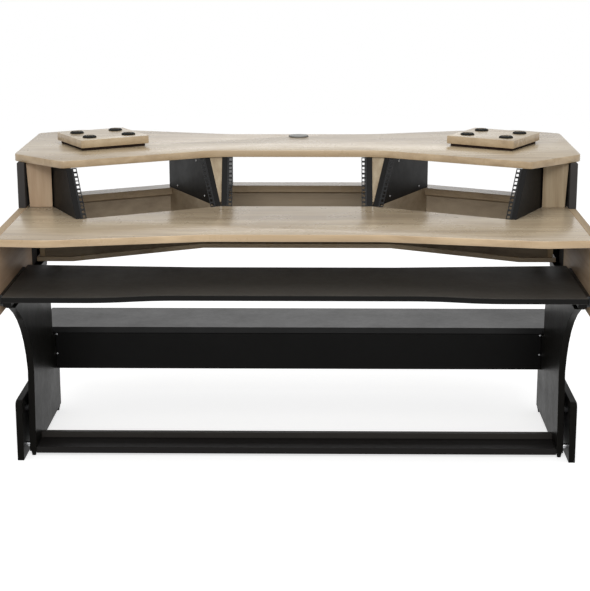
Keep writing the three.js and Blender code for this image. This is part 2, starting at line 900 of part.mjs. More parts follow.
function crossMembers() {

	const inner = legInner - seam;
	const shelf = rectangle( - footOuter, footOuter, cableShelfFrontY, cableShelfFrontY + cableShelfDepth );
	add( 'cable_shelf', plate( shelf, legStepHeight + seam, frameThickness ), 'laminate' );
	const modestyBottom = legStepHeight - modestyHeight;
	const modesty = rectangle( - inner, inner, modestyBottom, legStepHeight );
	add( 'modesty_panel', panel( modesty, cableShelfFrontY, frameThickness ), 'laminate' );
	const railFront = legFootFrontY + footRailInset;
	const railBack = railFront + footRailDepth;
	const tread = rectangle( - inner, inner, railFront, railBack );
	add( 'foot_rail', plate( tread, footRailHeight, frameThickness ), 'laminate' );
	const upstand = rectangle( - inner, inner, footRailHeight, footRailHeight + footRailUpstand );
	add( 'foot_rail_upstand', panel( upstand, railBack + seam, frameThickness ), 'laminate' );

}

// A thick oak plate on a smaller soft base, turned towards the user's seat
function speakerPad( side ) {

	const half = padWidth / 2;
	const depth = padDepth / 2;
	const top = rectangle( - half, half, - depth, depth, padRound );
	const baseHalf = half - padBaseInset;
	const baseDepth = depth - padBaseInset;
	const base = rectangle( - baseHalf, baseHalf, - baseDepth, baseDepth, padRound );
	const name = sideName( side );
	add( name + '_pad_base', onPad( plate( base, deckTop + seam, padBaseHeight ), side ), 'rubber' );
	let pad = solidOf( plate( top, padBottom, padThickness, deckEase ) );
	for ( const disc of padDiscs() ) pad = pad.add( solidOf( disc ) );
	add( name + '_speaker_pad', onPad( geometryOf( pad ), side ), 'oak' );

}

function onPad( geometry, side ) {

	return geometry.rotateZ( - side * padAngle ).translate( side * padX, padY, 0 );

}

// The four dished discs let into a pad's top
function padDiscs() {

	const middle = ( padDiscRadius + padDiscDishRadius ) / 2;
	const dish = padDiscHeight - padDiscDishDepth;
	const profile = [
		[ 0, - padDiscHeight ], [ padDiscRadius, - padDiscHeight ], [ padDiscRadius, padDiscRimHeight ],
		[ middle, padDiscHeight ], [ padDiscDishRadius, padDiscHeight ],
		[ padDiscDishRadius - padDiscDishDepth, dish ], [ 0, dish ]
	];
	const discs = [];
	for ( const x of [ - padDiscSpacingX / 2, padDiscSpacingX / 2 ] ) {

		for ( const y of [ - padDiscSpacingY / 2, padDiscSpacingY / 2 ] ) {

			discs.push( turned( profile, padDiscSegments ).translate( x, y, padBottom + padThickness ) );

		}

	}
	return discs;

}

upperDeck();
grommet();
worktop();
rearLedge();
boxFloor();
boxWalls();
centreBay();
keyboardShelf();
crossMembers();

for ( const side of [ - 1, 1 ] ) {

	sidePanels( side );
	frontFiller( side );
	sideBay( side );
	wedgeFiller( side );
	boxDivider( side );
	slide( side );
	leg( side );
	outriggerFoot( side );
	levellingGlides( side );
	mountingRail( side );
	speakerPad( side );

}

// The origin is on the floor, under the middle of the desk's depth
desk.position.y = - ( shelfFrontWingY + deckBackY ) / 2;

export default desk;
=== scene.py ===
"""A studio desk in pale oak and black laminate, dressed for a picture.

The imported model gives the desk's boards, strips, slides and feet. This script gives them their
finishes, adds the small fittings, and sets up the camera, the lights and the floor. Lengths are in metres.
"""

import math

import bmesh
import bpy
from mathutils import Matrix, Vector


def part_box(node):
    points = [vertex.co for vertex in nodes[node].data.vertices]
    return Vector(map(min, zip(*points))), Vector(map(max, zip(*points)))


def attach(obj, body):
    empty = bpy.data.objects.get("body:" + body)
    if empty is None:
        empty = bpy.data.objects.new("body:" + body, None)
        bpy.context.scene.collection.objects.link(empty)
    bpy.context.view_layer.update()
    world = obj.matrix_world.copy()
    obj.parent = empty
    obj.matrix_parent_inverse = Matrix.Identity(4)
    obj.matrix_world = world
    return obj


MM = 0.001
SIDES = {"left": -1, "right": 1}

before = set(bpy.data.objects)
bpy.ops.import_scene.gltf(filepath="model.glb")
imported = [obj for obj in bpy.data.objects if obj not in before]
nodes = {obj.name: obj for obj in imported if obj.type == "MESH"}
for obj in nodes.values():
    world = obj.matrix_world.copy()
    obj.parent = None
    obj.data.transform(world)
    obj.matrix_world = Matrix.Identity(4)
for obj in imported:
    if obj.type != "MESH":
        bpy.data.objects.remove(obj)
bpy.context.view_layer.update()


def both(*names):
    """The names of the pieces that the desk has on its left and on its right."""
    return [f"{side}_{name}" for side in SIDES for name in names]


# Camera: the place and direction from which the desk is seen

IMAGE_WIDTH = 590
CAMERA_PLACE = Vector((0.0886, -5.411, 1.8493))
CAMERA_DOWN = math.radians(14.045)
CAMERA_YAW = math.radians(-1.01)
CAMERA_ROLL = math.radians(-0.10)
CAMERA_FOCAL_PIXELS = 1585.1
CAMERA_RANGE = 200
SENSOR_WIDTH = 36.0


def add_camera():
    forward = Vector(
        (
            math.sin(CAMERA_YAW) * math.cos(CAMERA_DOWN),
            math.cos(CAMERA_YAW) * math.cos(CAMERA_DOWN),
            -math.sin(CAMERA_DOWN),
        )
    )
    level = Vector((math.cos(CAMERA_YAW), -math.sin(CAMERA_YAW), 0))
    upright = level.cross(forward)
    right = math.cos(CAMERA_ROLL) * level + math.sin(CAMERA_ROLL) * upright
    up = math.cos(CAMERA_ROLL) * upright - math.sin(CAMERA_ROLL) * level
    data = bpy.data.cameras.new("camera")
    data.sensor_fit = "HORIZONTAL"
    data.sensor_width = SENSOR_WIDTH
    data.lens = CAMERA_FOCAL_PIXELS * SENSOR_WIDTH / IMAGE_WIDTH
    data.clip_end = CAMERA_RANGE
    camera = bpy.data.objects.new("camera", data)
    bpy.context.scene.collection.objects.link(camera)
    turn = Matrix((right, up, -forward)).transposed().to_4x4()
    camera.matrix_world = Matrix.Translation(CAMERA_PLACE) @ turn
    bpy.context.scene.camera = camera


# Materials

class Finish:
    """One material, and short ways to add nodes to it."""

    def __init__(self, name):
        self.material = bpy.data.materials.new(name)
        self.material.use_nodes = True
        self.tree = self.material.node_tree
        self.shader = self.tree.nodes["Principled BSDF"]

    def put(self, kind, inputs=None, **settings):
        """A new node of a kind. Each of its inputs is given a value or the output of another node."""
        node = self.tree.nodes.new(kind)
        for key, value in settings.items():
            setattr(node, key, value)
        for key, value in (inputs or {}).items():
            self.feed(node.inputs[key], value)
        return node

    def feed(self, socket, value):
        if isinstance(value, bpy.types.NodeSocket):
            self.tree.links.new(value, socket)
        else:
            socket.default_value = value

    def math(self, operation, first, second=0.0):
        return self.put("ShaderNodeMath", {0: first, 1: second}, operation=operation).outputs[0]

    def spread(self, value, low, high, to_low=0.0, to_high=1.0):
        """value taken from one range to another, and kept inside it."""
        ranges = {0: value, 1: low, 2: high, 3: to_low, 4: to_high}
        return self.put("ShaderNodeMapRange", ranges).outputs[0]

    def noise(self, vector, scale, detail=2.0, roughness=0.5, distortion=0.0):
        values = {
            "Vector": vector,
            "Scale": scale,
            "Detail": detail,
            "Roughness": roughness,
            "Distortion": distortion,
        }
        return self.put("ShaderNodeTexNoise", values).outputs["Fac"]

    def drawn(self, vector, along, across, detail=2.0, roughness=0.5, distortion=0.0):
        """Noise that runs along vector's first axis. along and across say how fine it is each way."""
        scales = {"Vector": vector, "Scale": (along, across, across)}
        stretched = self.put("ShaderNodeMapping", scales).outputs[0]
        return self.noise(stretched, 1.0, detail, roughness, distortion)

    def mixed(self, factor, first, second):
        """Two colours mixed: all first at factor 0, and all second at factor 1."""
        node = self.put("ShaderNodeMix", data_type="RGBA")
        factor_socket, first_colour, second_colour, colour_result = 0, 6, 7, 2
        self.feed(node.inputs[factor_socket], factor)
        self.feed(node.inputs[first_colour], first)
        self.feed(node.inputs[second_colour], second)
        return node.outputs[colour_result]

    def ramp(self, factor, stops):
        node = self.put("ShaderNodeValToRGB", {"Fac": factor})
        elements = node.color_ramp.elements
        while len(elements) < len(stops):
            elements.new(0.5)
        for element, (place, colour) in zip(elements, stops):
            element.position = place
            element.color = colour
        return node.outputs["Color"]

    def bump(self, height, distance, strength):
        values = {"Height": height, "Distance": distance, "Strength": strength}
        self.feed(self.shader.inputs["Normal"], self.put("ShaderNodeBump", values).outputs[0])

    def set(self, **inputs):
        for key, value in inputs.items():
            self.feed(self.shader.inputs[key.replace("_", " ")], value)


def rgb(red, green, blue):
    """A colour written as it looks on a screen, from 0 to 255, as a linear colour."""
    levels = [level / 255 for level in (red, green, blue)]
    linear = [v / 12.92 if v <= 0.04045 else ((v + 0.055) / 1.055) ** 2.4 for v in levels]
    return (*linear, 1.0)


def place_on(finish):
    """Where each point of the surface is, in metres, with the desk at rest."""
    return finish.put("ShaderNodeTexCoord").outputs["Object"]


def edge_share(finish, face):
    """0 on a board's broad faces, which look along one axis, and 1 on its edges."""
    normal = finish.put("ShaderNodeTexCoord").outputs["Normal"]
    facing = finish.put("ShaderNodeSeparateXYZ", {0: normal}).outputs["XYZ".index(face)]
    return finish.spread(finish.math("ABSOLUTE", facing), low=0.80, high=0.55)


def worn_edges(finish, radius):
    """1 along the piece's sharp edges and 0 on its flats."""
    soft = finish.put("ShaderNodeBevel", {"Radius": radius}, samples=6).outputs[0]
    true = finish.put("ShaderNodeNewGeometry").outputs["Normal"]
    product = finish.put("ShaderNodeVectorMath", {0: soft, 1: true}, operation="DOT_PRODUCT")
    return finish.spread(product.outputs["Value"], low=0.98, high=0.75)


# Oak: its colours from dark to light, its pores, the bands on its edges,
# and the painted light and shade that some boards lean to

OAK_DARK = rgb(126, 109, 86)
OAK_MIDDLE = rgb(159, 142, 116)
OAK_LIGHT = rgb(184, 170, 144)
OAK_STOPS = [(0.18, OAK_DARK), (0.46, OAK_MIDDLE), (0.78, OAK_LIGHT)]
OAK_PORE = rgb(106, 89, 69)
BRIGHT_BAND = (rgb(176, 150, 116), rgb(208, 182, 146))
# Painted shade on the cheeks' top and front edges, which the overhead light falls on
PAINTED_SHADE_BAND = (OAK_DARK, OAK_MIDDLE)
# Painted shade, for boards in the shade under the worktop and the deck
OAK_PAINTED_SHADE = rgb(54, 39, 26)
# Painted light: paler and greyer, for boards that catch more light or a pale reflection
OAK_PAINTED_LIGHT = rgb(214, 199, 180)
# Painted warm light, for boards that look lighter and warmer in the light
OAK_PAINTED_WARM_LIGHT = rgb(216, 178, 148)


def oak(name, grain, face, shift, polish, sheen, painted_light_and_shade, band):
    """Oak laminate whose grain runs along one axis. Its broad faces look along another, and its edges,
    which face any other way, carry a band. painted_light_and_shade, painted light and shade over the whole
    board, and band each start with their share of the colour."""
    finish = Finish(name)
    place = place_on(finish)
    parts = finish.put("ShaderNodeSeparateXYZ", {0: place}).outputs
    order = {"X": (0, 1, 2), "Y": (1, 0, 2), "Z": (2, 0, 1)}[grain]
    along, across, through = (parts[axis] for axis in order)
    shifted = {0: finish.math("ADD", along, shift), 1: finish.math("ADD", across, shift), 2: through}
    wood = finish.put("ShaderNodeCombineXYZ", shifted).outputs[0]

    veneer = finish.drawn(wood, along=0.45, across=4.2)
    swirl = finish.drawn(wood, along=0.55, across=5.5, detail=1.0, roughness=0.4, distortion=0.35)
    streaks = finish.drawn(wood, along=1.3, across=27.0, detail=5.0, roughness=0.62, distortion=0.3)
    flecks = finish.drawn(wood, along=4.5, across=52.0, detail=4.0, roughness=0.55, distortion=0.2)
    fibres = finish.drawn(wood, along=7.0, across=330.0, detail=4.0, roughness=0.66)
    pores = finish.spread(finish.drawn(wood, along=9.0, across=820.0), low=0.63, high=0.74)
    ring_count, ring_share = 46.0, 0.05
    rings = finish.math("SINE", finish.math("MULTIPLY", swirl, ring_count))

    tone = 0.0
    for pattern, low, high, share in (
        (veneer, 0.28, 0.72, 0.28), (streaks, 0.25, 0.75, 0.30),
        (flecks, 0.30, 0.70, 0.24), (fibres, 0.25, 0.75, 0.13),
    ):
        part = finish.math("MULTIPLY", finish.spread(pattern, low, high), share)
        tone = finish.math("ADD", tone, part)
    tone = finish.math("ADD", tone, finish.math("MULTIPLY", rings, ring_share))

    pore_share = 0.25
    board = finish.mixed(finish.math("MULTIPLY", pores, pore_share), finish.ramp(tone, OAK_STOPS), OAK_PORE)
    # Painted light and shade over a whole board, where one is given
    if painted_light_and_shade:
        painted_share, painted_colour = painted_light_and_shade
        board = finish.mixed(painted_share, board, painted_colour)
    band_share, (band_dark, band_light) = band
    edging = finish.mixed(finish.spread(streaks, low=0.3, high=0.7), band_dark, band_light)
    colour = finish.mixed(finish.math("MULTIPLY", edge_share(finish, face), band_share), board, edging)

    wear_share = 0.35
    patches = finish.spread(finish.noise(place, scale=35.0, detail=3.0), low=0.42, high=0.62)
    worn = finish.math("MULTIPLY", worn_edges(finish, radius=1.6 * MM), patches)
    colour = finish.mixed(finish.math("MULTIPLY", worn, wear_share), colour, OAK_LIGHT)

    handling = finish.noise(place, scale=6.0, detail=4.0, roughness=0.6)
    gloss = finish.spread(handling, 0.3, 0.7, to_low=polish - 0.03, to_high=polish + 0.04)
    pore_roughness, fibre_height = 0.12, 0.5
    gloss = finish.math("ADD", gloss, finish.math("MULTIPLY", pores, pore_roughness))
    height = finish.math("SUBTRACT", finish.math("MULTIPLY", fibres, fibre_height), pores)
    finish.bump(height, distance=0.12 * MM, strength=0.5)
    finish.set(Base_Color=colour, Roughness=gloss, Specular_IOR_Level=sheen)
    return finish.material


# Edge wear on black laminate, partly a painted highlight along the edges
RUBBED_AND_HIGHLIT_LAMINATE = rgb(66, 62, 58)


def black_laminate(name, colour, clouds, gloss, sheen=0.12, band=None):
    """Smooth board laminate with a fine pearl texture and faint clouds of another colour, softly polished,
    and rubbed lighter at its edges, which is wear and a painted highlight along them. A board that lies
    flat can have edges of their own colour, its band, which on the shelves is painted shade on their edges."""
    finish = Finish(name)
    place = place_on(finish)
    pearl = finish.noise(place, scale=1500.0)
    cloud = finish.noise(place, scale=7.0, detail=4.0, roughness=0.6)
    smudge = finish.noise(place, scale=45.0, detail=3.0, roughness=0.65)
    shade = finish.mixed(finish.spread(cloud, 0.3, 0.7, to_high=0.5), colour, clouds)
    if band:
        shade = finish.mixed(edge_share(finish, "Z"), shade, band)
    # Wear and a painted highlight along the edges
    wear_share = 0.5
    patches = finish.spread(finish.noise(place, scale=60.0, detail=3.0), 0.40, 0.60, to_low=0.25)
    worn = finish.math("MULTIPLY", worn_edges(finish, radius=1.4 * MM), patches)
    shade = finish.mixed(finish.math("MULTIPLY", worn, wear_share), shade, RUBBED_AND_HIGHLIT_LAMINATE)
    rough = finish.spread(cloud, 0.3, 0.7, to_low=gloss - 0.04, to_high=gloss + 0.04)
    rough = finish.math("ADD", rough, finish.spread(smudge, 0.35, 0.7, to_low=-0.015, to_high=0.03))
    finish.bump(pearl, distance=0.04 * MM, strength=0.25)
    finish.set(Base_Color=shade, Roughness=rough, Specular_IOR_Level=sheen)
    return finish.material


def powder_coat(name, colour, light, rubbed):
    """Powder paint on sheet steel: a fine orange-peel skin, rubbed at the sharp edges."""
    finish = Finish(name)
    place = place_on(finish)
    peel = finish.noise(place, scale=900.0, detail=3.0, roughness=0.55)
    speck = finish.noise(place, scale=260.0)
    shade = finish.mixed(finish.spread(speck, low=0.35, high=0.7), colour, light)
    wear_share = 0.3
    wear = finish.math("MULTIPLY", worn_edges(finish, radius=0.7 * MM), wear_share)
    finish.bump(peel, distance=0.08 * MM, strength=0.6)
    finish.set(
        Base_Color=finish.mixed(wear, shade, rubbed),
        Roughness=finish.spread(peel, 0.3, 0.7, to_low=0.42, to_high=0.56),
        Specular_IOR_Level=0.2,
    )
    return finish.material


def zinc_steel(name, light, dark, gloss):
    """Zinc-plated steel with fine drawn lines and a faint blotchy bloom."""
    finish = Finish(name)
    place = place_on(finish)
    lines = finish.drawn(place, along=2500.0, across=60.0)
    bloom = finish.noise(place, scale=120.0, detail=3.0)
    finish.bump(lines, distance=0.01 * MM, strength=0.4)
    finish.set(
        Base_Color=finish.mixed(finish.spread(bloom, low=0.3, high=0.7), light, dark),
        Roughness=finish.spread(bloom, 0.3, 0.7, to_low=gloss, to_high=gloss + 0.14),
        Metallic=1.0,
    )
    return finish.material


def moulded(name, colour, light, gloss, sheen=0.35):
    """Moulded plastic, rubber or felt with a fine matt grain."""
    finish = Finish(name)
    place = place_on(finish)
    grain = finish.noise(place, scale=1100.0, roughness=0.6)
    bloom = finish.noise(place, scale=40.0, detail=3.0)
    finish.bump(grain, distance=0.06 * MM, strength=0.6)
    finish.set(
        Base_Color=finish.mixed(finish.spread(bloom, low=0.3, high=0.7), colour, light),
        Roughness=finish.spread(grain, 0.3, 0.7, to_low=gloss - 0.06, to_high=gloss + 0.06),
        Specular_IOR_Level=sheen,
    )
    return finish.material


ZINC = zinc_steel("bright_steel_zinc", rgb(214, 215, 216), rgb(188, 189, 192), gloss=0.2)
POWDER_COAT = powder_coat("black_powder_coat", rgb(14, 14, 15), rgb(22, 22, 23), rubbed=rgb(70, 70, 72))
BLACK_LAMINATE = black_laminate("black_laminate", rgb(10, 9, 8), rgb(14, 13, 12), gloss=0.46)
RUBBER = moulded("rubber", rgb(22, 22, 21), rgb(31, 31, 29), gloss=0.7, sheen=0.10)


# Shading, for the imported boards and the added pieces

SHARP_EDGE = math.radians(32)
SAME_POINT = 0.01 * MM


def soft_shading():
    """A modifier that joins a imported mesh's triangles and shades them smoothly, except over sharp edges."""
    group = bpy.data.node_groups.new("smooth_over_shallow_edges", "GeometryNodeTree")
    group.is_modifier = True
    group.interface.new_socket("Geometry", in_out="INPUT", socket_type="NodeSocketGeometry")
    group.interface.new_socket("Geometry", in_out="OUTPUT", socket_type="NodeSocketGeometry")
    start = group.nodes.new("NodeGroupInput")
    end = group.nodes.new("NodeGroupOutput")
    bare = group.nodes.new("GeometryNodeRemoveAttribute")
    bare.inputs["Name"].default_value = "custom_normal"
    join = group.nodes.new("GeometryNodeMergeByDistance")
    join.inputs["Distance"].default_value = SAME_POINT
    smooth = group.nodes.new("GeometryNodeSetShadeSmooth")
    edges = group.nodes.new("GeometryNodeSetShadeSmooth")
    edges.domain = "EDGE"
    angle = group.nodes.new("GeometryNodeInputMeshEdgeAngle")
    shallow = group.nodes.new("FunctionNodeCompare")
    shallow.operation = "LESS_THAN"
    shallow.inputs["B"].default_value = SHARP_EDGE
    group.links.new(angle.outputs["Unsigned Angle"], shallow.inputs["A"])
    group.links.new(shallow.outputs["Result"], edges.inputs["Shade Smooth"])
    chain = [start, bare, join, smooth, edges, end]
    for before, after in zip(chain, chain[1:]):
        group.links.new(before.outputs[0], after.inputs[0])
    return group


SMOOTHING = soft_shading()


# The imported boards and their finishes

# Oak boards by the axis of their grain and the axis that their broad faces look along
OAK_BOARDS = {
    ("X", "Z"): ["upper_deck", "worktop", "rear_ledge", "box_floor", *both("speaker_pad")],
    ("X", "Y"): ["box_front_wall", "box_back_wall"],
    ("Y", "X"): [
        *both("side_cheek"),
        "box_left_end_wall", "box_right_end_wall", "box_left_divider", "box_right_divider",
    ],
    ("Z", "Y"): both("front_filler", "wedge_filler"),
}

# Each board is cut from another stretch of the same wood, this far on
BOARD_SHIFT = 1.37

# Roughness and sheen, by the axis that a board's broad faces look along: the tops are wiped smooth
OAK_POLISH = {"X": (0.50, 0.06), "Y": (0.44, 0.25), "Z": (0.28, 0.55)}

# Painted light and shade on some boards, for how light falls on them: by how much, and towards what
BOARD_PAINTED_LIGHT_AND_SHADE = {
    # Painted shade: the box front wall under the worktop, the wedge fillers under the deck
    "box_front_wall": (0.50, OAK_PAINTED_SHADE),
    "left_wedge_filler": (0.16, OAK_PAINTED_SHADE),
    "right_wedge_filler": (0.24, OAK_PAINTED_SHADE),
    # Painted light on the box's inner walls, and a painted pale reflection on the rear ledge
    "box_back_wall": (0.32, OAK_PAINTED_LIGHT),
    "box_left_divider": (0.25, OAK_PAINTED_LIGHT),
    "box_right_divider": (0.25, OAK_PAINTED_LIGHT),
    "rear_ledge": (0.30, OAK_PAINTED_LIGHT),
    # Painted warm light on the front fillers and cheeks, stronger on the left
    "left_front_filler": (0.34, OAK_PAINTED_WARM_LIGHT),
    "right_front_filler": (0.04, OAK_PAINTED_WARM_LIGHT),
    "left_side_cheek": (0.45, OAK_PAINTED_WARM_LIGHT),
    "right_side_cheek": (0.30, OAK_PAINTED_WARM_LIGHT),
    # Painted pale reflection on the worktop
    "worktop": (0.08, OAK_PAINTED_LIGHT),
}

# The band on a board's edges: its share of the colour there, and its dark and light colours
USUAL_BAND = (0.4, BRIGHT_BAND)
BOARD_BANDS = {
    "worktop": (1.0, BRIGHT_BAND),
    "upper_deck": (0.55, BRIGHT_BAND),
    # The cheeks' band is painted shade on their top and front edges
    "left_side_cheek": (0.85, PAINTED_SHADE_BAND),
    "right_side_cheek": (0.85, PAINTED_SHADE_BAND),
}

PLAIN_BLACK_BOARDS = [
    "modesty_panel", "centre_left_rack_board", "centre_right_rack_board",
    *both("inner_rack_board", "outer_rack_board", "shelf_batten", "mounting_rail"),
]
RACK_STRIPS = [
    "centre_left_rack_strip", "centre_right_rack_strip", *both("inner_rack_strip", "outer_rack_strip"),
]

# Other laminates, by the name of the material: the boards that have it, and what it looks like
OTHER_LAMINATES = {
    "black_laminate_legs": (
        both("leg", "foot"),
        dict(colour=rgb(21, 20, 18), clouds=rgb(27, 26, 24), gloss=0.33, sheen=0.02),
    ),
    "black_laminate_rail": (
        ["foot_rail"],
        dict(colour=rgb(25, 23, 22), clouds=rgb(32, 30, 29), gloss=0.42),
    ),
    # The upstand's lighter colour is painted light, for the reflection it catches
    "black_laminate_upstand_painted_light": (
        ["foot_rail_upstand"],
        dict(colour=rgb(54, 51, 48), clouds=rgb(62, 59, 56), gloss=0.42),
    ),
    # The cable shelf's near-black band is painted shade on its front edge
    "black_laminate_cable_shelf_shaded_edge": (
        ["cable_shelf"],
        dict(colour=rgb(13, 12, 11), clouds=rgb(19, 18, 17), gloss=0.40, sheen=0.25, band=rgb(4, 4, 4)),
    ),
    # The keyboard shelf's lighter colour is a painted sheen on its top; its dark band keeps its edges black
    "black_laminate_tray_painted_sheen": (
        ["keyboard_shelf"],
        dict(colour=rgb(63, 60, 56), clouds=rgb(72, 69, 64), gloss=0.44, sheen=0.13, band=rgb(8, 7, 6)),
    ),
    "charcoal_laminate": (
        both("end_panel"),
        dict(colour=rgb(67, 65, 64), clouds=rgb(74, 71, 70), gloss=0.85, sheen=0.03),
    ),
}


def dress(names, material):
    for name in names:
        board = nodes[name]
        board.data.materials.clear()
        board.data.materials.append(material)
        board.modifiers.new("shading", "NODES").node_group = SMOOTHING


def dress_boards():
    count = 0
    for (grain, face), names in OAK_BOARDS.items():
        for name in names:
            count += 1
            polish, sheen = OAK_POLISH[face]
            # The painted light and shade on this board, if any
            painted_light_and_shade = BOARD_PAINTED_LIGHT_AND_SHADE.get(name)
            band = BOARD_BANDS.get(name, USUAL_BAND)
            dress([name], oak(f"oak_{name}", grain, face, BOARD_SHIFT * count, polish, sheen, painted_light_and_shade, band))
    dress(PLAIN_BLACK_BOARDS, BLACK_LAMINATE)
    for material_name, (boards, look) in OTHER_LAMINATES.items():
        dress(boards, black_laminate(material_name, **look))
    dress(RACK_STRIPS, POWDER_COAT)
    # The slides' zinc is darker and rougher than the bright fittings' zinc
    darker_slide_zinc = zinc_steel("darker_slide_steel", rgb(78, 79, 81), rgb(62, 63, 65), gloss=0.36)
    dress(both("slide_outer", "slide_middle", "slide_inner"), darker_slide_zinc)
    dress(both("front_glide", "rear_glide"), RUBBER)
    felt = moulded("felt_base", rgb(44, 33, 30), rgb(54, 42, 38), gloss=0.85, sheen=0.05)
    dress(both("pad_base"), felt)
    dress(["grommet_sleeve"], moulded("grommet_rim", rgb(70, 69, 66), rgb(80, 79, 76), gloss=0.5))
    dress(["grommet_cap"], moulded("grommet_lid", rgb(104, 103, 99), rgb(116, 115, 110), gloss=0.5))


# Small fittings

SCREW_SEGMENTS = 36
DISC_SEGMENTS = 48


def finished(name, mesh, material):
    """The mesh as an object that belongs to the desk's frame."""
    bmesh.ops.recalc_face_normals(mesh, faces=mesh.faces)
    data = bpy.data.meshes.new(name)
    mesh.to_mesh(data)
    mesh.free()
    data.materials.append(material)
    piece = bpy.data.objects.new(name, data)
    bpy.context.scene.collection.objects.link(piece)
    piece.modifiers.new("shading", "NODES").node_group = SMOOTHING
    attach(piece, "desk_frame")
    return piece


def turn_onto(mesh, axis, place):
    """Turns the mesh's Z to the axis, and moves its origin to the place."""
    turn = Vector(axis).normalized().to_track_quat("Z", "X").to_matrix().to_4x4()
    mesh.transform(Matrix.Translation(Vector(place)) @ turn)


def join_loops(mesh, loops):
    """Skins each loop of points to the next one."""
    segments = len(loops[0])
    for low, high in zip(loops, loops[1:]):
        for step in range(segments):
            after = (step + 1) % segments
            mesh.faces.new((low[step], low[after], high[after], high[step]))


def spun(name, rings, axis, place, material, segments):
    """A piece turned about an axis. Each ring is (radius, height, sides): sides 0 is round, 6 is a hexagon
    whose flats lie at that radius. The first and last rings are closed by a fan."""
    mesh = bmesh.new()
    loops = []
    for radius, height, sides in rings:
        loop = []
        for step in range(segments):
            angle = 2 * math.pi * step / segments
            reach = radius
            if sides:
                part = 2 * math.pi / sides
                reach = radius / math.cos((angle + part / 2) % part - part / 2)
            loop.append(mesh.verts.new((reach * math.cos(angle), reach * math.sin(angle), height)))
        loops.append(loop)
    join_loops(mesh, loops)
    for loop, height, way in ((loops[0], rings[0][1], -1), (loops[-1], rings[-1][1], 1)):
        middle = mesh.verts.new((0, 0, height))
        for step in range(segments):
            after = (step + 1) % segments
            corners = (middle, loop[step], loop[after])
            mesh.faces.new(corners if way > 0 else corners[::-1])
    turn_onto(mesh, axis, place)
    return finished(name, mesh, material)


def socket_screw(name, place, axis, radius, height):
    """A domed screw head with a six-sided socket, standing on a face at its place."""
    socket = 0.42 * radius
    sunk = 0.2 * MM
    rings = [
        (radius, -sunk, 0), (radius, 0.35 * height, 0), (0.94 * radius, 0.62 * height, 0),
        (0.80 * radius, 0.86 * height, 0), (0.62 * radius, height, 0),
        (1.08 * socket, height, 6), (socket, 0.93 * height, 6), (socket, 0.35 * height, 6),
    ]
    return spun(name, rings, axis, place, ZINC, SCREW_SEGMENTS)


def bolt_cover(name, place, axis, radius, height):
    """A domed bolt head, a little larger than the plain head it stands over."""
    socket = 0.40 * radius
    lift = 0.1 * MM
    socket_floor = 2.6 * MM
    rings = [
        (radius, lift, 0), (radius, 0.45 * height, 0), (0.93 * radius, 0.72 * height, 0),
        (0.78 * radius, 0.92 * height, 0), (0.62 * radius, height, 0),
        (1.1 * socket, height, 6), (socket, 0.95 * height, 6), (socket, socket_floor, 6),
    ]
    return spun(name, rings, axis, place, ZINC, SCREW_SEGMENTS)


def sleeve(name, start, axis, length, inner, outer, material, slot):
    """A round collar from a start along an axis, with softened rims."""
    wall = outer - inner
    chamfer = 0.15 * wall + 0.25 * MM
    section = [
        (inner, 0), (outer - chamfer, 0), (outer, chamfer), (outer, length - chamfer),
        (outer - chamfer, length), (inner, length),
    ]
    angles = [2 * math.pi * step / SCREW_SEGMENTS for step in range(SCREW_SEGMENTS)]
    mesh = bmesh.new()
    loops = []
    for radius, height in section:
        points = [(radius * math.cos(angle), radius * math.sin(angle), height) for angle in angles]
        loops.append([mesh.verts.new(point) for point in points])
    join_loops(mesh, loops + loops[:1])
    turn_onto(mesh, axis, start)
    return finished(name, mesh, material)


def near_and_far(low, high):
    """How far from the desk's middle plane a left or right piece's box starts, and how far it reaches."""
    return sorted((abs(low.x), abs(high.x)))


# The side bays turn about the ends of the centre bay
BAY_ANGLE = math.radians(27)
BAY_FRONT_Y = -3 * MM
PIVOT_X = 263.5 * MM
BOARD_THICKNESS = 18 * MM

# Screws of an inner rack board, by how far back and how high they are
BOARD_SCREWS = {
    "front": (102 * MM, 836 * MM),
    "back": (355 * MM, 832 * MM),
    "upper": (173 * MM, 952 * MM),
}


def bay_point(side, along, depth, height):
    """A point given along a side bay's front and into its depth."""
    x = PIVOT_X + math.cos(BAY_ANGLE) * along + math.sin(BAY_ANGLE) * depth
    y = BAY_FRONT_Y - math.sin(BAY_ANGLE) * along + math.cos(BAY_ANGLE) * depth
    return Vector((side * x, y, height))


def add_board_screws():
    """Three bright screws in each inner rack board: two low ones into the divider, and one near the deck."""
    for name, side in SIDES.items():
        face = Vector((side * math.cos(BAY_ANGLE), -math.sin(BAY_ANGLE), 0))
        for row, (depth, height) in BOARD_SCREWS.items():
            place = bay_point(side, BOARD_THICKNESS, depth, height)
            socket_screw(f"{name}_{row}_board_screw", place, face, radius=4.2 * MM, height=1.6 * MM)


MODESTY_BOLT_INSET = 4.5 * MM
MODESTY_BOLT_DROPS = {"upper": 5 * MM, "lower": 78 * MM}


def add_modesty_bolts():
    """Two bolts at each end of the modesty panel."""
    low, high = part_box("modesty_panel")
    for name, side in SIDES.items():
        for row, drop in MODESTY_BOLT_DROPS.items():
            x = high.x - MODESTY_BOLT_INSET if side > 0 else low.x + MODESTY_BOLT_INSET
            place = (x, low.y, high.z - drop)
            socket_screw(f"{name}_{row}_modesty_bolt", place, (0, -1, 0), radius=3.6 * MM, height=1.8 * MM)


BRACKET_FRONT_Y = 130 * MM
BRACKET_LEDGE = 22 * MM
BRACKET_LAP = 21 * MM
BRACKET_FOOT = 23 * MM
BRACKET_INSET = 2 * MM
BRACKET_SOFTENING = 0.8 * MM
SEAT_GAP = 0.3 * MM
PANEL_GAP = 0.4 * MM


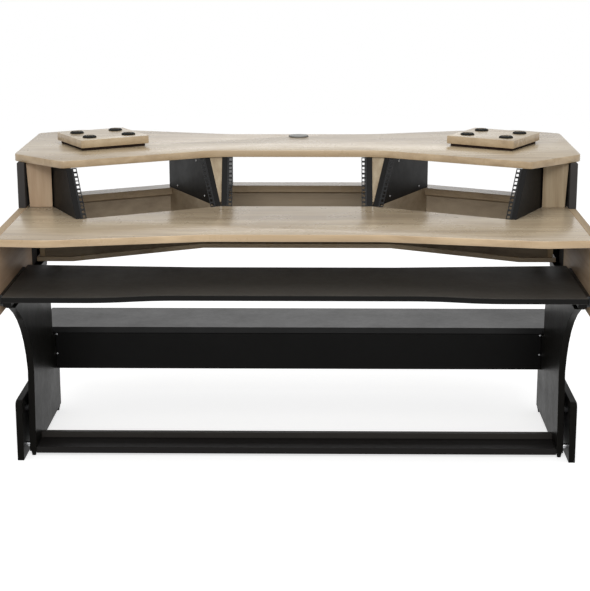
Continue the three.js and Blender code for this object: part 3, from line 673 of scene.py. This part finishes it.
def add_box_brackets():
    """A black corner bracket at each end of the cable box. It stands on the mounting rail and the leg, and
    carries the end of the box's floor."""
    floor_low, floor_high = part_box("box_floor")
    back_y = BRACKET_FRONT_Y + BOARD_THICKNESS
    for name, side in SIDES.items():
        leg_low, leg_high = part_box(f"{name}_leg")
        panel_low, panel_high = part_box(f"{name}_end_panel")
        inner = near_and_far(leg_low, leg_high)[0] + BRACKET_INSET
        outer = near_and_far(panel_low, panel_high)[0] - PANEL_GAP
        foot = leg_high.z + SEAT_GAP
        head = floor_low.z - SEAT_GAP
        reach = floor_high.x - BRACKET_LAP
        outline = [
            (inner, foot), (outer, foot), (outer, head), (reach, head), (reach, head - BRACKET_LEDGE),
            (inner, foot + BRACKET_FOOT),
        ]
        mesh = bmesh.new()
        front = [mesh.verts.new((side * x, BRACKET_FRONT_Y, z)) for x, z in outline]
        back = [mesh.verts.new((side * x, back_y, z)) for x, z in outline]
        mesh.faces.new(front)
        mesh.faces.new(back[::-1])
        for corner in range(len(outline)):
            after = (corner + 1) % len(outline)
            mesh.faces.new((front[after], front[corner], back[corner], back[after]))
        bmesh.ops.recalc_face_normals(mesh, faces=mesh.faces)
        rounding = {"offset": BRACKET_SOFTENING, "segments": 2, "profile": 0.5, "affect": "EDGES"}
        bmesh.ops.bevel(mesh, geom=list(mesh.edges), **rounding)
        finished(f"{name}_box_bracket", mesh, BLACK_LAMINATE)


LEG_TO_FOOT = 13 * MM
FOOT_BOLT_FROM_ENDS = 20 * MM
FOOT_BOLT_FROM_EDGES = 40 * MM
PLAIN_HEAD_HEIGHT = 2.5 * MM
GLIDE_INSET = 20 * MM
COLLAR_START = 0.35 * MM
COLLAR_SHORTER = 0.5 * MM
COLLAR_BORE_RADIUS = 8.05 * MM
COLLAR_RADIUS = 8.6 * MM
COLLAR_LOOKS = {"lower": (ZINC, "bright_steel"), "upper": (POWDER_COAT, "black_steel")}


def leg_front_y(name):
    """Where the leg's front edge meets the floor, from its front glide, which is set back from it."""
    low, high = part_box(f"{name}_front_glide")
    return (low.y + high.y) / 2 - GLIDE_INSET


def add_foot_fittings():
    """Collars between each leg and its foot, bright at the floor and black above, and domed bolt heads
    on the foot's outer face."""
    for name, side in SIDES.items():
        foot_low, foot_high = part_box(f"{name}_foot")
        leg_low, leg_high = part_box(f"{name}_leg")
        leg_face = near_and_far(leg_low, leg_high)[1]
        foot_outer = near_and_far(foot_low, foot_high)[1] - PLAIN_HEAD_HEIGHT
        rows = {
            "front": leg_front_y(name) + FOOT_BOLT_FROM_ENDS,
            "rear": leg_high.y - FOOT_BOLT_FROM_ENDS,
        }
        levels = {"lower": FOOT_BOLT_FROM_EDGES, "upper": foot_high.z - FOOT_BOLT_FROM_EDGES}
        outward = (side, 0, 0)
        for row, y in rows.items():
            for level, z in levels.items():
                piece = f"{name}_{row}_{level}"
                start = (side * (leg_face + COLLAR_START), y, z)
                length = LEG_TO_FOOT - COLLAR_SHORTER
                collar = f"{piece}_collar"
                look = COLLAR_LOOKS[level]
                sleeve(collar, start, outward, length, COLLAR_BORE_RADIUS, COLLAR_RADIUS, *look)
                head = (side * foot_outer, y, z)
                bolt_cover(f"{piece}_bolt_head", head, outward, radius=7.0 * MM, height=3.4 * MM)


PAD_ANGLE = math.radians(30)
DISC_SPACING_X = 148 * MM
DISC_SPACING_Y = 120 * MM
DISC_SEAT_DEPTH = 7 * MM

# Radius and height of each ring of a disc, from its rim up and in to its dished middle
DISC_PROFILE = [
    (24.2 * MM, 0.05 * MM), (24.6 * MM, 0.6 * MM), (24.5 * MM, 3.0 * MM), (23.2 * MM, 4.6 * MM),
    (20.5 * MM, 6.2 * MM), (17.5 * MM, 7.1 * MM), (13.4 * MM, 7.3 * MM), (12.2 * MM, 7.1 * MM),
    (11.4 * MM, 6.3 * MM), (9.6 * MM, 5.75 * MM), (4.0 * MM, 5.6 * MM),
]


def add_pad_discs():
    """A dished rubber disc over each of the four seats in a speaker pad's top."""
    rings = [(radius, height, 0) for radius, height in DISC_PROFILE]
    for name, side in SIDES.items():
        low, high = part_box(f"{name}_speaker_pad")
        middle = (low + high) / 2
        turn = Matrix.Rotation(-side * PAD_ANGLE, 3, "Z")
        for number, (u, v) in enumerate(((-1, -1), (1, -1), (-1, 1), (1, 1)), 1):
            offset = turn @ Vector((u * DISC_SPACING_X / 2, v * DISC_SPACING_Y / 2, 0))
            place = Vector((middle.x + offset.x, middle.y + offset.y, high.z - DISC_SEAT_DEPTH))
            piece = f"{name}_pad_disc_{number}"
            spun(piece, rings, (0, 0, 1), place, RUBBER, DISC_SEGMENTS)


# Stage

FLOOR_RADIUS = 9.0
FLOOR_FADE_START = 3.2
FLOOR_FADE_END = 8.8
FLOOR_COLOUR = rgb(208, 208, 208)
FLOOR_WHITE = 0.70
WHITE = (1, 1, 1, 1)
DAYLIGHT = 0.50
BACKGROUND_WHITE = 1.0

# Soft lights: where each stands, its width and height, and its power in watts
SOFTBOX_AIM = Vector((0, 0, 0.8))
SOFTBOXES = {
    "overhead": ((0.0, -0.6, 3.6), 4.5, 3.0, 56.0),
    "front_fill": ((0.0, -4.4, 3.3), 3.5, 1.2, 95.0),
    "backlight": ((0.0, 4.0, 2.5), 2.2, 1.0, 9.0),
}


def seen_directly(tree):
    """1 for what the camera, or a mirror-like or clear face, sees, and 0 for light that falls on the desk."""
    path = tree.nodes.new("ShaderNodeLightPath")
    seen = path.outputs["Is Camera Ray"]
    for ray in ("Is Glossy Ray", "Is Transmission Ray"):
        node = tree.nodes.new("ShaderNodeMath")
        node.operation = "MAXIMUM"
        tree.links.new(seen, node.inputs[0])
        tree.links.new(path.outputs[ray], node.inputs[1])
        seen = node.outputs[0]
    return seen


def add_floor():
    """A round white floor that keeps a pale shadow, and fades into the surroundings away from the desk."""
    mesh = bmesh.new()
    bmesh.ops.create_circle(mesh, cap_ends=True, radius=FLOOR_RADIUS, segments=96)
    data = bpy.data.meshes.new("floor")
    mesh.to_mesh(data)
    mesh.free()
    finish = Finish("floor")
    place = place_on(finish)
    distance = finish.put("ShaderNodeVectorMath", {0: place}, operation="LENGTH").outputs["Value"]
    fade = finish.spread(distance, FLOOR_FADE_START, FLOOR_FADE_END)
    finish.set(Base_Color=FLOOR_COLOUR, Roughness=0.9, Specular_IOR_Level=0.0, Emission_Color=WHITE)
    finish.set(Emission_Strength=finish.math("MULTIPLY", seen_directly(finish.tree), FLOOR_WHITE))
    clear = finish.put("ShaderNodeBsdfTransparent")
    mix = finish.put("ShaderNodeMixShader", {0: fade, 1: finish.shader.outputs[0], 2: clear.outputs[0]})
    output = finish.tree.nodes["Material Output"]
    finish.tree.links.new(mix.outputs[0], output.inputs["Surface"])
    data.materials.append(finish.material)
    floor = bpy.data.objects.new("floor", data)
    bpy.context.scene.collection.objects.link(floor)


def add_world():
    """Soft light from all round. The camera and mirror-like faces see plain white."""
    world = bpy.data.worlds.new("surroundings")
    world.use_nodes = True
    tree = world.node_tree
    background = tree.nodes["Background"]
    background.inputs["Color"].default_value = WHITE
    level = tree.nodes.new("ShaderNodeMapRange")
    level.inputs["To Min"].default_value = DAYLIGHT
    level.inputs["To Max"].default_value = BACKGROUND_WHITE
    tree.links.new(seen_directly(tree), level.inputs["Value"])
    tree.links.new(level.outputs[0], background.inputs["Strength"])
    bpy.context.scene.world = world


def add_lights():
    for name, (place, width, height, power) in SOFTBOXES.items():
        data = bpy.data.lights.new(name, "AREA")
        data.shape = "RECTANGLE"
        data.size = width
        data.size_y = height
        data.energy = power
        lamp = bpy.data.objects.new(name, data)
        lamp.location = place
        lamp.rotation_mode = "QUATERNION"
        lamp.rotation_quaternion = (SOFTBOX_AIM - Vector(place)).to_track_quat("-Z", "Y")
        bpy.context.scene.collection.objects.link(lamp)


bpy.context.scene.view_settings.view_transform = "Standard"
add_camera()
dress_boards()
add_board_screws()
add_modesty_bolts()
add_box_brackets()
add_foot_fittings()
add_pad_discs()
add_floor()
add_world()
add_lights()
